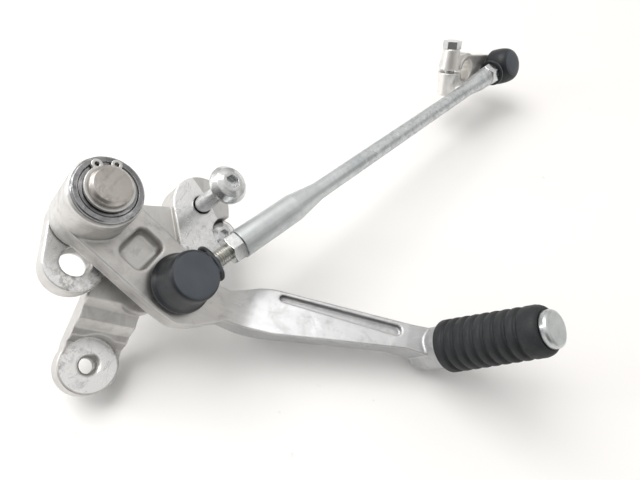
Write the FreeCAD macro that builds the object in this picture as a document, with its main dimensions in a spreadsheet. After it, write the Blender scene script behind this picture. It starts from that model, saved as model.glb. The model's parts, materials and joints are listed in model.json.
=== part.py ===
"""Motorcycle gear shift lever with its pivot bracket, tie rod and shift arm.

Frame, in millimetres: the lever pivots about +Z, the origin is on the pivot axis in the
plane of the bracket's flat back, and +X runs from the pivot to the toe peg.
"""
import FreeCAD, Part
import ast
import math
import operator
import os
import re
import Sketcher

os.makedirs("parts", exist_ok=True)
doc = FreeCAD.newDocument("gear_shift_lever")
sheet = doc.addObject("Spreadsheet::Sheet", "Dimensions")

Vector = FreeCAD.Vector
Rotation = FreeCAD.Rotation
Placement = FreeCAD.Placement
Z_AXIS = Vector(0, 0, 1)

DIMENSIONS = [
    # pivot
    ("shaft_radius", 6.9), ("shaft_bottom", -10.0), ("shaft_top", 34.0), ("shaft_chamfer", 1.0),
    ("clip_groove_radius", 6.45), ("clip_bottom", 29.9), ("clip_thick", 1.2), ("clip_radius", 8.0),
    ("clip_inner_radius", 6.55), ("clip_lug_radius", 1.75), ("clip_lug_hole", 0.8),
    ("clip_lug_spacing", 6.2), ("clip_lug_y", 8.0), ("clip_gap", 2.6), ("clip_turn", 33.5),
    ("clip_side_play", 0.05),
    ("washer_radius", 11.5), ("washer_bore", 7.1), ("washer_bottom", 28.0), ("washer_thick", 1.2),
    ("washer_rim_radius", 10.1), ("washer_rim_height", 0.55), ("washer_edge", 0.5),
    ("shim_radius", 11.0), ("shim_thick", 0.9),
    ("hub_radius", 12.2), ("hub_bottom", 0.95), ("hub_top", 27.9), ("hub_bore", 8.0),
    ("bush_bore", 6.95), ("bush_length", 9.0), ("lower_bush_z", 4.0),
    ("upper_bush_z", 16.0), ("seal_outer", 7.9), ("seal_inner", 7.0), ("seal_thick", 1.9),
    ("lower_seal_z", 1.5), ("upper_seal_z", 25.5),
    # bracket casting
    ("boss_radius", 11.6), ("pad_x", 4.8), ("pad_y", -15.8), ("pad_radius", 10.8),
    ("pad_thick", 10.0), ("pad_hole", 5.4), ("web_top", -3.0), ("web_bottom", -10.0),
    ("web_near_radius", 8.0), ("web_far_x", 40.0), ("web_far_y", 20.0), ("web_far_radius", 10.0),
    ("floor_x", 30.0), ("floor_y", -12.0), ("floor_radius", 10.0), ("floor_top", -4.0),
    ("block_x", 36.7), ("block_y", 30.7), ("block_radius", 12.5), ("block_low_x", 46.0),
    ("block_low_y", 13.0), ("block_low_radius", 10.5), ("block_bottom", -14.0),
    ("block_hole", 4.05), ("side_x", 51.6), ("side_y", 25.6), ("side_radius", 7.6),
    ("side_seat", -5.6), ("side_bottom", -16.0), ("side_hole", 3.05), ("side_spotface", 6.95),
    ("lug_x", 29.4), ("lug_y", -41.3), ("lug_top", -24.1), ("lug_bottom", -33.5),
    ("lug_radius", 11.2), ("lug_hole", 3.45), ("lug_countersink", 4.4), ("lug_face_radius", 10.4),
    ("lug_arm_width", 20.5),
    ("lug_arm_x", 24.4), ("lug_arm_y", -20.0),
    # lever
    ("arm_bottom", 3.5), ("arm_top", 12.5), ("arm_bend_x", 64.3), ("arm_end_x", 118.0),
    ("arm_lip_x", 125.0), ("arm_lip_top", 54.0), ("arm_under_bend_x", 69.5),
    ("arm_heel_x", 128.0), ("arm_heel_bottom", 45.0), ("over_bend_radius", 18.0),
    ("under_bend_radius", 12.0), ("hub_edge_radius", 0.8),
    ("neck_rounding", 9.0), ("heel_rounding", 6.0), ("hip_rounding", 16.0),
    ("arm_end_top", 50.0), ("arm_end_bottom", 40.0), ("peg_x", 131.6), ("peg_boss_radius", 8.2),
    ("peg_boss_top", 58.2), ("peg_boss_bottom", 44.0), ("pocket_x", 20.6), ("pocket_y", -5.2),
    ("pocket_angle", -15.8), ("pocket_length", 11.4), ("pocket_width", 13.6),
    ("pocket_corner", 3.0), ("pocket_depth", 4.5), ("pocket_floor_radius", 2.0),
    ("pocket_mouth_radius", 1.0),
    ("groove_start", 14.6), ("groove_end", 60.6), ("groove_edge", 2.7), ("groove_depth", 2.4),
    ("groove_start_radius", 1.4), ("groove_end_radius", 2.2),
    # toe peg and its rubber
    ("peg_radius", 5.0), ("peg_bottom", 45.0), ("rubber_bottom", 58.8), ("rubber_top", 100.0),
    ("rubber_big_radius", 10.1), ("rubber_small_radius", 8.8), ("rubber_tip_radius", 7.6),
    ("rubber_bore", 5.15), ("cap_radius", 6.5), ("cap_bottom", 100.3), ("cap_top", 103.0),
    ("cap_edge", 1.1),
    # ball joints: heights are measured from the ball centre along the stud
    ("ball_radius", 5.0), ("ball_flat", 4.3), ("neck_radius", 2.7), ("stud_face", -8.0),
    ("stud_flange", 3.5), ("stud_flange_thick", 0.9), ("stud_shank", 3.0), ("arm_thick_at_stud", 9.0),
    ("stud_nut_thick", 4.0), ("stud_nut_flats", 8.0), ("nut_flats", 10.0),
    ("seat_inner", 5.04), ("seat_outer", 6.0),
    ("seat_low", -2.6), ("seat_high", 3.4), ("socket_inner", 6.04), ("socket_radius", 7.2),
    ("socket_low", -3.6), ("socket_high", 5.4), ("socket_mouth", 5.1), ("plug_radius", 5.6),
    ("plug_low", 5.15), ("plug_high", 6.1), ("stem_radius", 3.0), ("near_stem", 33.0),
    ("far_stem", 27.0),
    ("near_boot_low", -6.6), ("near_boot_high", 8.6), ("near_boot_top", 9.2),
    ("near_boot_rim", 11.4), ("near_boot_lip", 7.6), ("far_boot_low", -5.1), ("far_boot_high", 7.6),
    ("far_boot_top", 8.6), ("far_boot_rim", 9.4), ("far_boot_lip", 6.6), ("boot_lip_wall", 1.1),
    ("boot_wall", 1.1), ("boot_neck_radius", 5.0), ("boot_neck_end", 11.4),
    ("boot_flare_radius", 6.85), ("boot_flare_thick", 1.5),
    ("near_x", 37.9), ("near_y", -11.0), ("near_z", 20.5),
    # tie rod
    ("rod_azimuth", 60.84), ("rod_rise", 11.54), ("rod_span", 212.3), ("rod_start", 24.0),
    ("rod_end", 195.4), ("rod_thick_radius", 5.75), ("rod_thick_end", 52.0), ("rod_neck_end", 66.0),
    ("rod_neck_radius", 3.8), ("rod_thin_radius", 3.5), ("rod_swell_start", 179.0),
    ("rod_swell_end", 189.0), ("rod_swell_radius", 4.75), ("rod_bore", 3.05),
    ("rod_bore_depth", 12.0), ("near_nut_start", 18.55), ("far_nut_start", 195.45),
    ("lock_nut_thick", 5.4),
    # shift arm: local x towards the clamp, local z along the far stud
    ("arm_length", 24.7), ("arm_azimuth", -128.1), ("arm_rise", -1.4), ("stud_boss_radius", 4.9),
    ("stud_boss_bottom", -13.0), ("strap_clamp_radius", 7.4),
    ("clamp_radius", 8.4), ("clamp_low", -20.0), ("clamp_high", -8.6), ("clamp_bore", 5.5),
    ("ear_x", 33.5), ("ear_z", -13.5), ("ear_radius", 5.3), ("ear_tip_radius", 4.2),
    ("ear_top", 11.0), ("ear_bottom", 12.5), ("slit", 1.6), ("pinch_shank", 2.9),
    ("pinch_hole", 3.0), ("pinch_head_thick", 3.8), ("pinch_flats", 8.0), ("pinch_length", 20.0),
    ("far_tilt", 38.8), ("far_tilt_azimuth", -39.8), ("far_socket_tilt", 21.3),
    ("far_socket_azimuth", -60.8),
    # fixing bolts
    ("bolt_lift", 22.6), ("bolt_head_radius", 7.75), ("bolt_head_thick", 4.6),
    ("bolt_waist", 3.55), ("bolt_waist_length", 37.6), ("bolt_thread", 3.95),
    ("bolt_length", 49.5), ("bolt_key", 5.0), ("bolt_key_depth", 2.6),
    ("side_head_radius", 6.6), ("side_head_thick", 3.3), ("side_bolt_radius", 3.0),
    ("side_bolt_length", 16.0), ("side_key", 4.0), ("side_key_depth", 2.0),
]

for row, (alias, value) in enumerate(DIMENSIONS, start=1):
    sheet.set(f"A{row}", alias)
    sheet.set(f"B{row}", str(value))
    sheet.setAlias(f"B{row}", alias)
doc.recompute()

SIZES = dict(DIMENSIONS)
NODES = []

# Heights in the sheet start at the machined pad; the frame starts at the bracket's back.
LIFT = Placement(Vector(0, 0, SIZES["pad_thick"]), Rotation())


OPERATIONS = {ast.Add: operator.add, ast.Sub: operator.sub,
              ast.Mult: operator.mul, ast.Div: operator.truediv}


def value_of(expression):
    """The number that arithmetic over the sheet's aliases gives."""
    return work_out(ast.parse(str(expression).strip()).body[0].value)


def work_out(term):
    if isinstance(term, ast.BinOp):
        return OPERATIONS[type(term.op)](work_out(term.left), work_out(term.right))
    if isinstance(term, ast.UnaryOp):
        return -work_out(term.operand)
    if isinstance(term, ast.Name):
        return SIZES[term.id]
    return float(term.value)


def bind(expression):
    """Point every alias in an expression at its cell in the sheet."""
    return re.sub(r"[a-z_]+[a-z0-9_]*", lambda word: "Dimensions." + word.group(0), str(expression))


def keep(label, piece):
    """Name a finished piece, which also names its file, and lift it into the part's frame."""
    piece.Label = label
    piece.Placement = LIFT.multiply(piece.Placement)
    NODES.append(piece)
    return piece


def new_body(name):
    return doc.addObject("PartDesign::Body", name + "_body")


def origin_plane(body, role):
    return next(item for item in body.Origin.OriginFeatures if item.Role == role)


def new_sketch(body, name, role="XY_Plane", offset=None):
    """A sketch on one of the body's own origin planes."""
    sketch = body.newObject("Sketcher::SketchObject", name)
    sketch.AttachmentSupport = [(origin_plane(body, role), "")]
    sketch.MapMode = "FlatFace"
    if offset is not None:
        sketch.AttachmentOffset = offset
    return sketch


def pin_point(sketch, geometry, position, across, along):
    """Tie a sketch point's two coordinates to expressions over the sheet."""
    for kind, expression in (("DistanceX", across), ("DistanceY", along)):
        number = value_of(expression)
        index = sketch.addConstraint(Sketcher.Constraint(kind, -1, 1, geometry, position, number))
        sketch.setExpression(f"Constraints[{index}]", bind(expression))


def polygon(sketch, points):
    """A closed outline of straight lines through points given as expressions."""
    places = [Vector(value_of(u), value_of(v), 0) for u, v in points]
    first = sketch.GeometryCount
    for start, end in zip(places, places[1:] + places[:1]):
        sketch.addGeometry(Part.LineSegment(start, end), False)
    count = len(points)
    for index in range(count):
        following = first + (index + 1) % count
        sketch.addConstraint(Sketcher.Constraint("Coincident", first + index, 2, following, 1))
    for index, (across, along) in enumerate(points):
        pin_point(sketch, first + index, 1, across, along)


def circle(sketch, across, along, radius):
    centre = Vector(value_of(across), value_of(along), 0)
    index = sketch.addGeometry(Part.Circle(centre, Z_AXIS, value_of(radius)), False)
    pin_point(sketch, index, 3, across, along)
    size = sketch.addConstraint(Sketcher.Constraint("Radius", index, value_of(radius)))
    sketch.setExpression(f"Constraints[{size}]", bind(radius))


def link(sketch, first_end, second_end):
    """The belt outline round two circles, each given as (x, y, radius)."""
    x1, y1, r1 = (value_of(item) for item in first_end)
    x2, y2, r2 = (value_of(item) for item in second_end)
    heading = math.atan2(y2 - y1, x2 - x1)
    spread = math.acos((r1 - r2) / math.hypot(x2 - x1, y2 - y1))
    centre1 = Vector(x1, y1, 0)
    centre2 = Vector(x2, y2, 0)

    def rim(centre, radius, angle):
        return centre + Vector(radius * math.cos(angle), radius * math.sin(angle), 0)

    left, right = heading + spread, heading - spread
    arc1 = sketch.addGeometry(
        Part.ArcOfCircle(Part.Circle(centre1, Z_AXIS, r1), left, right + 2 * math.pi), False)
    arc2 = sketch.addGeometry(
        Part.ArcOfCircle(Part.Circle(centre2, Z_AXIS, r2), right, left), False)
    side1 = sketch.addGeometry(
        Part.LineSegment(rim(centre1, r1, right), rim(centre2, r2, right)), False)
    side2 = sketch.addGeometry(
        Part.LineSegment(rim(centre2, r2, left), rim(centre1, r1, left)), False)
    for pair in ((arc1, 2, side1, 1), (side1, 2, arc2, 1), (arc2, 2, side2, 1), (side2, 2, arc1, 1)):
        sketch.addConstraint(Sketcher.Constraint("Tangent", *pair))
    for arc, (across, along, radius) in ((arc1, first_end), (arc2, second_end)):
        pin_point(sketch, arc, 3, across, along)
        size = sketch.addConstraint(Sketcher.Constraint("Radius", arc, value_of(radius)))
        sketch.setExpression(f"Constraints[{size}]", bind(radius))


def pad(body, name, low, high, draw, role="XY_Plane"):
    """Extrude an outline from one height to another along the sketch plane's normal."""
    offset = Placement(Vector(0, 0, value_of(low)), Rotation())
    sketch = new_sketch(body, name + "_outline", role, offset)
    sketch.setExpression("AttachmentOffset.Base.z", bind(low))
    draw(sketch)
    feature = body.newObject("PartDesign::Pad", name)
    feature.Profile = sketch
    feature.setExpression("Length", bind(f"({high}) - ({low})"))
    doc.recompute()
    return feature


def cut(body, name, low, high, draw, role="XY_Plane"):
    """Remove an outline between two heights along the sketch plane's normal."""
    offset = Placement(Vector(0, 0, value_of(high)), Rotation())
    sketch = new_sketch(body, name + "_outline", role, offset)
    sketch.setExpression("AttachmentOffset.Base.z", bind(high))
    draw(sketch)
    before = body.Shape.Volume
    feature = body.newObject("PartDesign::Pocket", name)
    feature.Profile = sketch
    feature.setExpression("Length", bind(f"({high}) - ({low})"))
    doc.recompute()
    if body.Shape.Volume > before - 1e-3:
        raise RuntimeError(f"{name} removed nothing")
    return feature


def turned(label, points, place=None):
    """A piece turned about its own z axis from an outline of (radius, height) expressions."""
    body = new_body(label)
    sketch = new_sketch(body, label + "_profile", "XZ_Plane")
    polygon(sketch, points)
    turn = body.newObject("PartDesign::Revolution", label + "_turn")
    turn.Profile = sketch
    turn.ReferenceAxis = (sketch, ["V_Axis"])
    turn.Angle = 360.0
    doc.recompute()
    if place is not None:
        body.Placement = place
    return keep(label, body)


def sleeve(label, inner, outer, low, high, place=None):
    """A plain ring: bush, washer or seal."""
    outline = [(inner, low), (outer, low), (outer, high), (inner, high)]
    return turned(label, outline, place)


def edges_where(shape, test):
    """Names of a shape's edges that pass a test."""
    return [f"Edge{number}" for number, edge in enumerate(shape.Edges, start=1) if test(edge)]


def soften(body, name, radius, test):
    """Round the edges of a body's solid that pass a test."""
    base = body.Tip
    names = edges_where(base.Shape, test)
    feature = body.newObject("PartDesign::Fillet", name)
    feature.Base = (base, names)
    feature.Radius = value_of(radius)
    feature.setExpression("Radius", bind(radius))
    doc.recompute()
    return feature


def hexagon(sketch, flats, across="0", along="0"):
    """A hexagon with a given width across its flats."""
    radius = value_of(flats) / math.sqrt(3)
    centre = Vector(value_of(across), value_of(along), 0)
    corners = [centre + Vector(radius * math.cos(turn), radius * math.sin(turn), 0)
               for turn in (math.radians(60 * step) for step in range(6))]
    first = sketch.GeometryCount
    for start, end in zip(corners, corners[1:] + corners[:1]):
        sketch.addGeometry(Part.LineSegment(start, end), False)
    for step in range(6):
        sketch.addConstraint(
            Sketcher.Constraint("Coincident", first + step, 2, first + (step + 1) % 6, 1))


# ---------------------------------------------------------------- directions and places
def unit(azimuth, elevation):
    turn, rise = math.radians(azimuth), math.radians(elevation)
    return Vector(math.cos(turn) * math.cos(rise), math.sin(turn) * math.cos(rise), math.sin(rise))


ROD_WAY = unit(SIZES["rod_azimuth"], SIZES["rod_rise"])
NEAR_BALL = Vector(SIZES["near_x"], SIZES["near_y"], SIZES["near_z"])
FAR_BALL = NEAR_BALL + ROD_WAY * SIZES["rod_span"]

# The near stud stands on the lever along +Z, and its socket is square to the rod.
NEAR_SIDE = Z_AXIS.cross(ROD_WAY).normalize()
NEAR_SOCKET_WAY = ROD_WAY.cross(NEAR_SIDE).normalize()

# The far stud leans, because the gearbox shaft does, and its socket is square to the rod.
FAR_STUD_WAY = unit(SIZES["far_tilt_azimuth"], 90.0 - SIZES["far_tilt"])
SOCKET_LEAN = unit(SIZES["far_socket_azimuth"], 90.0 - SIZES["far_socket_tilt"])
FAR_SOCKET_WAY = (SOCKET_LEAN - ROD_WAY * SOCKET_LEAN.dot(ROD_WAY)).normalize()


def frame_from(origin, x_way, z_way):
    """Placement whose local z is z_way and whose local x is as near x_way as it can be."""
    z_way = Vector(z_way).normalize()
    x_way = (x_way - z_way * x_way.dot(z_way)).normalize()
    y_way = z_way.cross(x_way)
    return Placement(origin, Rotation(x_way, y_way, z_way, "ZXY"))


NEAR_STUD_PLACE = Placement(NEAR_BALL, Rotation())
NEAR_SOCKET_PLACE = frame_from(NEAR_BALL, ROD_WAY, NEAR_SOCKET_WAY)
NEAR_BOOT_PLACE = frame_from(NEAR_BALL, ROD_WAY, Z_AXIS)
FAR_SOCKET_PLACE = frame_from(FAR_BALL, ROD_WAY * -1, FAR_SOCKET_WAY)
ROD_PLACE = frame_from(NEAR_BALL, Z_AXIS, ROD_WAY)
ARM_WAY = unit(SIZES["arm_azimuth"], SIZES["arm_rise"])
ARM_PLACE = frame_from(FAR_BALL, ARM_WAY, FAR_STUD_WAY)


# ---------------------------------------------------------------- bracket casting
def make_bracket():
    body = new_body("bracket_casting")
    hub = ("0", "0", "boss_radius")
    pad(body, "pivot_and_pad", "-pad_thick", "0",
        lambda sketch: link(sketch, hub, ("pad_x", "pad_y", "pad_radius")))
    pad(body, "upper_web", "web_bottom", "web_top",
        lambda sketch: link(sketch, ("0", "0", "web_near_radius"),
                            ("web_far_x", "web_far_y", "web_far_radius")))
    pad(body, "lower_floor", "web_bottom", "floor_top",
        lambda sketch: link(sketch, hub, ("floor_x", "floor_y", "floor_radius")))
    pad(body, "bolt_block", "block_bottom", "0",
        lambda sketch: link(sketch, ("block_x", "block_y", "block_radius"),
                            ("block_low_x", "block_low_y", "block_low_radius")))
    pad(body, "side_boss", "side_bottom", "side_seat",
        lambda sketch: circle(sketch, "side_x", "side_y", "side_radius"))
    pad(body, "lug", "lug_bottom", "lug_top",
        lambda sketch: circle(sketch, "lug_x", "lug_y", "lug_radius"))
    make_lug_arm(body)
    cut(body, "lug_face", "lug_top", "lug_top + 12",
        lambda sketch: circle(sketch, "lug_x", "lug_y", "lug_face_radius"))
    for name, across, along, radius, low, high in (
            ("pivot_bore", "0", "0", "shaft_radius", "web_bottom - 1", "1"),
            ("pad_bore", "pad_x", "pad_y", "pad_hole", "web_bottom - 1", "1"),
            ("block_bore", "block_x", "block_y", "block_hole", "block_bottom - 1", "1"),
            ("side_spot", "side_x", "side_y", "side_spotface", "side_seat", "1"),
            ("side_bore", "side_x", "side_y", "side_hole", "side_bottom - 1", "1"),
            ("lug_bore", "lug_x", "lug_y", "lug_hole", "lug_bottom - 1", "lug_top + 1")):
        cut(body, name, low, high,
            lambda sketch, a=across, b=along, r=radius: circle(sketch, a, b, r))
    make_countersink(body)
    return keep("bracket_casting", body)


def make_countersink(body):
    """The chamfered mouth of the low lug's hole."""
    sketch = new_sketch(body, "lug_mouth_outline", "XZ_Plane",
                        Placement(Vector(SIZES["lug_x"], 0, -SIZES["lug_y"]), Rotation()))
    mouth = "lug_countersink"
    polygon(sketch, [(0, "lug_top + 1"), (mouth, "lug_top + 1"), (mouth, "lug_top"),
                     (0, f"lug_top - {mouth}")])
    groove = body.newObject("PartDesign::Groove", "lug_mouth")
    groove.Profile = sketch
    groove.ReferenceAxis = (sketch, ["V_Axis"])
    doc.recompute()


LUG_ARM_ROOT = 9.0  # how far the arm runs back under the floor
LUG_ARM_STEPS = [  # (distance along the arm, height) of its worn steps
    (1.5, -4), (3.5, -9), (8, -10.5), (10.5, -15.5), (13, -17), (15, -22.5)]
LUG_ARM_BELLY = 13.5  # where the arm's underside meets the lug's


def make_lug_arm(body):
    """The stepped arm that drops from the floor to the low lug."""
    start = Vector(SIZES["lug_arm_x"], SIZES["lug_arm_y"], 0)
    lug = Vector(SIZES["lug_x"], SIZES["lug_y"], 0)
    reach = (lug - start).Length
    heading = math.degrees(math.atan2(lug.y - start.y, lug.x - start.x))
    turn = Rotation(Z_AXIS, heading).multiply(Rotation(Vector(1, 0, 0), 90))
    base = new_sketch(body, "lug_arm_outline", "XY_Plane", Placement(start, turn))
    polygon(base, [(-LUG_ARM_ROOT, "floor_top")] + LUG_ARM_STEPS + [
        (reach, "lug_top"), (reach, "lug_bottom"), (LUG_ARM_BELLY, "lug_bottom"),
        (-LUG_ARM_ROOT, "web_bottom - 2")])
    arm = body.newObject("PartDesign::Pad", "lug_arm")
    arm.Profile = base
    arm.SideType = "Symmetric"
    arm.setExpression("Length", bind("lug_arm_width"))
    doc.recompute()


make_bracket()


# ---------------------------------------------------------------- pivot
def make_pivot():
    turned("pivot_shaft", [
        (0, "shaft_bottom"), ("shaft_radius", "shaft_bottom"),
        ("shaft_radius", "clip_bottom - clip_side_play"),
        ("clip_groove_radius", "clip_bottom - clip_side_play"),
        ("clip_groove_radius", "clip_bottom + clip_thick + clip_side_play"),
        ("shaft_radius", "clip_bottom + clip_thick + clip_side_play"),
        ("shaft_radius", "shaft_top - shaft_chamfer"),
        ("shaft_radius - shaft_chamfer", "shaft_top"), (0, "shaft_top")])
    sleeve("lower_thrust_washer", "washer_bore", "shim_radius", "0", "shim_thick")
    washer_top = "washer_bottom + washer_thick"
    rim_top = washer_top + " + washer_rim_height"
    turned("thrust_washer", [
        ("washer_bore", "washer_bottom"), ("washer_radius", "washer_bottom"),
        ("washer_radius", rim_top + " - washer_edge"), ("washer_radius - washer_edge", rim_top),
        ("washer_rim_radius - washer_edge", rim_top), ("washer_rim_radius - washer_edge * 2", washer_top),
        ("washer_bore", washer_top)])
    make_circlip()
    for label, low in (("lower_bush", "lower_bush_z"), ("upper_bush", "upper_bush_z")):
        sleeve(label, "bush_bore", "hub_bore", low, low + " + bush_length")
    for label, low in (("lower_dust_seal", "lower_seal_z"), ("upper_dust_seal", "upper_seal_z")):
        sleeve(label, "seal_inner", "seal_outer", low, low + " + seal_thick")


def make_circlip():
    """A spring ring, open between two eyes that circlip pliers hold."""
    low, high = "clip_bottom", "clip_bottom + clip_thick"
    body = new_body("circlip")
    pad(body, "clip_ring", low, high, lambda sketch: circle(sketch, 0, 0, "clip_radius"))
    eyes = (("left", "-clip_lug_spacing / 2"), ("right", "clip_lug_spacing / 2"))
    for side, across in eyes:
        pad(body, side + "_eye", low, high,
            lambda sketch, x=across: circle(sketch, x, "clip_lug_y", "clip_lug_radius"))
    cut(body, "clip_bore", low + " - 1", high + " + 1",
        lambda sketch: circle(sketch, 0, 0, "clip_inner_radius"))
    half, beyond = "clip_gap / 2", "clip_radius + 4"
    cut(body, "clip_opening", low + " - 1", high + " + 1",
        lambda sketch: polygon(sketch, [("-" + half, 2), (half, 2), (half, beyond),
                                        ("-" + half, beyond)]))
    for side, across in eyes:
        cut(body, side + "_hole", low + " - 1", high + " + 1",
            lambda sketch, x=across: circle(sketch, x, "clip_lug_y", "clip_lug_hole"))
    body.Placement = Placement(Vector(), Rotation(Z_AXIS, SIZES["clip_turn"]))
    return keep("circlip", body)


# ---------------------------------------------------------------- lever
def rounded_box(sketch, length, width, corner):
    """A rectangle about the sketch's origin with round corners."""
    a = value_of(length) / 2
    b = value_of(width) / 2
    c = value_of(corner)
    middles = [(a - c, -b + c), (a - c, b - c), (-a + c, b - c), (-a + c, -b + c)]
    arcs = []
    for step, (x, y) in enumerate(middles):
        start = math.radians(90 * (step - 1))
        ring = Part.Circle(Vector(x, y, 0), Z_AXIS, c)
        arcs.append(sketch.addGeometry(Part.ArcOfCircle(ring, start, start + math.pi / 2), False))
    for step in range(4):
        here, following = arcs[step], arcs[(step + 1) % 4]
        start = sketch.getPoint(here, 2)
        end = sketch.getPoint(following, 1)
        side = sketch.addGeometry(Part.LineSegment(start, end), False)
        sketch.addConstraint(Sketcher.Constraint("Tangent", here, 2, side, 1))
        sketch.addConstraint(Sketcher.Constraint("Tangent", side, 2, following, 1))
    half_x = f"({length}) / 2 - {corner}"
    half_y = f"({width}) / 2 - {corner}"
    signs = [("", "-"), ("", ""), ("-", ""), ("-", "-")]
    for arc, (sign_x, sign_y) in zip(arcs, signs):
        pin_point(sketch, arc, 3, f"{sign_x}({half_x})", f"{sign_y}({half_y})")
        size = sketch.addConstraint(Sketcher.Constraint("Radius", arc, c))
        sketch.setExpression(f"Constraints[{size}]", bind(corner))


ARM_PLAN = [  # the lever's outline seen along the pivot, from the hub's upper side round
    (3.2, 11.8), (38.0, 2.2), (50.0, -3.6), (58.0, -3.0), (70.0, 4.0), (118.0, 4.4), ("peg_x", 6.0),
    ("peg_x", -6.0), (118.0, -5.8), (96.0, -10.2), (77.0, -14.2), (60.0, -14.8), (50.0, -21.5),
    (43.0, -24.0), (34.0, -22.4), (-3.2, -11.8)]
ARM_OVER = [  # all that lies above the arm, seen along Y
    (-30, "arm_top"), ("arm_bend_x", "arm_top"), ("arm_end_x", "arm_end_top"),
    ("arm_lip_x", "arm_lip_top"), (160, "arm_lip_top"), (160, 90), (-30, 90)]
ARM_UNDER = [  # all that lies below it
    (-30, "arm_bottom"), (-30, -10), (160, -10), (160, "arm_heel_bottom"),
    ("arm_heel_x", "arm_heel_bottom"), ("arm_end_x + 2", "arm_end_bottom"),
    ("arm_under_bend_x", "arm_bottom")]


def make_lever():
    body = new_body("gear_lever")
    pad(body, "arm_plan", "arm_bottom", "peg_boss_top", lambda sketch: polygon(sketch, ARM_PLAN))
    for name, low, high in (("neck_rounding", 47, 59), ("heel_rounding", 33, 46),
                            ("hip_rounding", 69, 78)):
        soften(body, name, name,
               lambda edge, a=low, b=high: is_upright(edge) and a < edge.CenterOfMass.x < b)
    mask = new_sketch(body, "arm_elevation", "XZ_Plane")
    polygon(mask, ARM_OVER)
    polygon(mask, ARM_UNDER)
    before = body.Shape.Volume
    trim = body.newObject("PartDesign::Pocket", "arm_elevation_cut")
    trim.Profile = mask
    trim.Type = "ThroughAll"
    trim.SideType = "Symmetric"
    doc.recompute()
    if body.Shape.Volume > before - 1:
        raise RuntimeError("the arm's elevation removed nothing")
    for name, along, height in (("over_bend_radius", "arm_bend_x", "arm_top"),
                                ("under_bend_radius", "arm_under_bend_x", "arm_bottom")):
        soften(body, name, name, lambda edge, x=SIZES[along], z=SIZES[height]: crosses(edge, x, z))
    pad(body, "hub", "hub_bottom", "hub_top", lambda sketch: circle(sketch, 0, 0, "hub_radius"))
    soften(body, "hub_edge", "hub_edge_radius", is_hub_mouth)
    pad(body, "peg_boss", "peg_boss_bottom", "peg_boss_top",
        lambda sketch: circle(sketch, "peg_x", 0, "peg_boss_radius"))
    cut(body, "hub_bore_cut", "hub_bottom - 1", "hub_top + 1",
        lambda sketch: circle(sketch, 0, 0, "hub_bore"))
    cut(body, "stud_hole", "arm_bottom - 1", "arm_top + 1",
        lambda sketch: circle(sketch, "near_x", "near_y", "stud_shank"))
    cut(body, "peg_hole", "peg_boss_bottom - 1", "peg_boss_top + 1",
        lambda sketch: circle(sketch, "peg_x", 0, "peg_radius"))
    make_pocket(body)
    make_groove(body)
    return keep("gear_lever", body)


def is_upright(edge):
    """Whether an edge is a straight line along z."""
    if edge.Curve.TypeId != "Part::GeomLine":
        return False
    ends = edge.Vertexes
    return abs(ends[0].X - ends[1].X) < 1e-4 and abs(ends[0].Y - ends[1].Y) < 1e-4


def is_hub_mouth(edge):
    """Whether an edge is the rim of the hub's upper end."""
    return (abs(edge.CenterOfMass.z - SIZES["hub_top"]) < 1e-4
            and abs(edge.Curve.Radius - SIZES["hub_radius"]) < 1e-4)


def crosses(edge, x, z):
    """Whether an edge runs straight across the arm at a given x and height."""
    return all(abs(end.X - x) < 1e-4 and abs(end.Z - z) < 1e-4 for end in edge.Vertexes)


def make_pocket(body):
    """The lightening pocket between the hub and the ball joint, with a dished floor."""
    turn = Rotation(Z_AXIS, SIZES["pocket_angle"])
    place = Placement(Vector(SIZES["pocket_x"], SIZES["pocket_y"], SIZES["arm_top"]), turn)
    sketch = new_sketch(body, "arm_pocket_outline", "XY_Plane", place)
    rounded_box(sketch, "pocket_length", "pocket_width", "pocket_corner")
    feature = body.newObject("PartDesign::Pocket", "arm_pocket")
    feature.Profile = sketch
    feature.setExpression("Length", bind("pocket_depth"))
    doc.recompute()
    for name, height in (("pocket_floor_radius", "arm_top - pocket_depth"),
                         ("pocket_mouth_radius", "arm_top")):
        soften(body, name, name, lambda edge, z=value_of(height): rings_pocket(edge, z))


def rings_pocket(edge, height):
    """Whether an edge runs round the pocket at a given height."""
    if any(abs(end.Z - height) > 1e-4 for end in edge.Vertexes):
        return False
    middle = edge.CenterOfMass
    away = math.hypot(middle.x - SIZES["pocket_x"], middle.y - SIZES["pocket_y"])
    return away < SIZES["pocket_width"] * 0.65


def make_groove(body):
    """The tapering groove sunk square into the rising face of the arm."""
    rise = math.atan2(SIZES["arm_end_top"] - SIZES["arm_top"], SIZES["arm_end_x"] - SIZES["arm_bend_x"])
    place = Placement(Vector(SIZES["arm_bend_x"], 0, SIZES["arm_top"]),
                      Rotation(Vector(0, 1, 0), -math.degrees(rise)))
    sketch = new_sketch(body, "arm_groove_outline", "XY_Plane", place)
    link(sketch, *((along, "groove_edge - " + radius, radius) for along, radius in (
        ("groove_start", "groove_start_radius"), ("groove_end", "groove_end_radius"))))
    feature = body.newObject("PartDesign::Pocket", "arm_groove")
    feature.Profile = sketch
    feature.setExpression("Length", bind("groove_depth"))
    doc.recompute()


# ---------------------------------------------------------------- toe peg
def make_toe_peg():
    place = Placement(Vector(SIZES["peg_x"], 0, 0), Rotation())
    turned("toe_peg", [
        (0, "peg_bottom"), ("peg_radius", "peg_bottom"), ("peg_radius", "cap_bottom"),
        ("cap_radius", "cap_bottom"), ("cap_radius", "cap_top - cap_edge"),
        ("cap_radius - cap_edge / 3", "cap_top - cap_edge / 3"),
        ("cap_radius - cap_edge", "cap_top"), (0, "cap_top")], place)
    turned("toe_rubber", [
        ("rubber_bore", "rubber_bottom"), ("rubber_big_radius - 0.8", "rubber_bottom"),
        ("rubber_big_radius", "rubber_bottom + 0.8"), ("rubber_small_radius", "rubber_top - 2.8"),
        ("rubber_tip_radius", "rubber_top"), ("rubber_bore", "rubber_top")], place)


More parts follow.
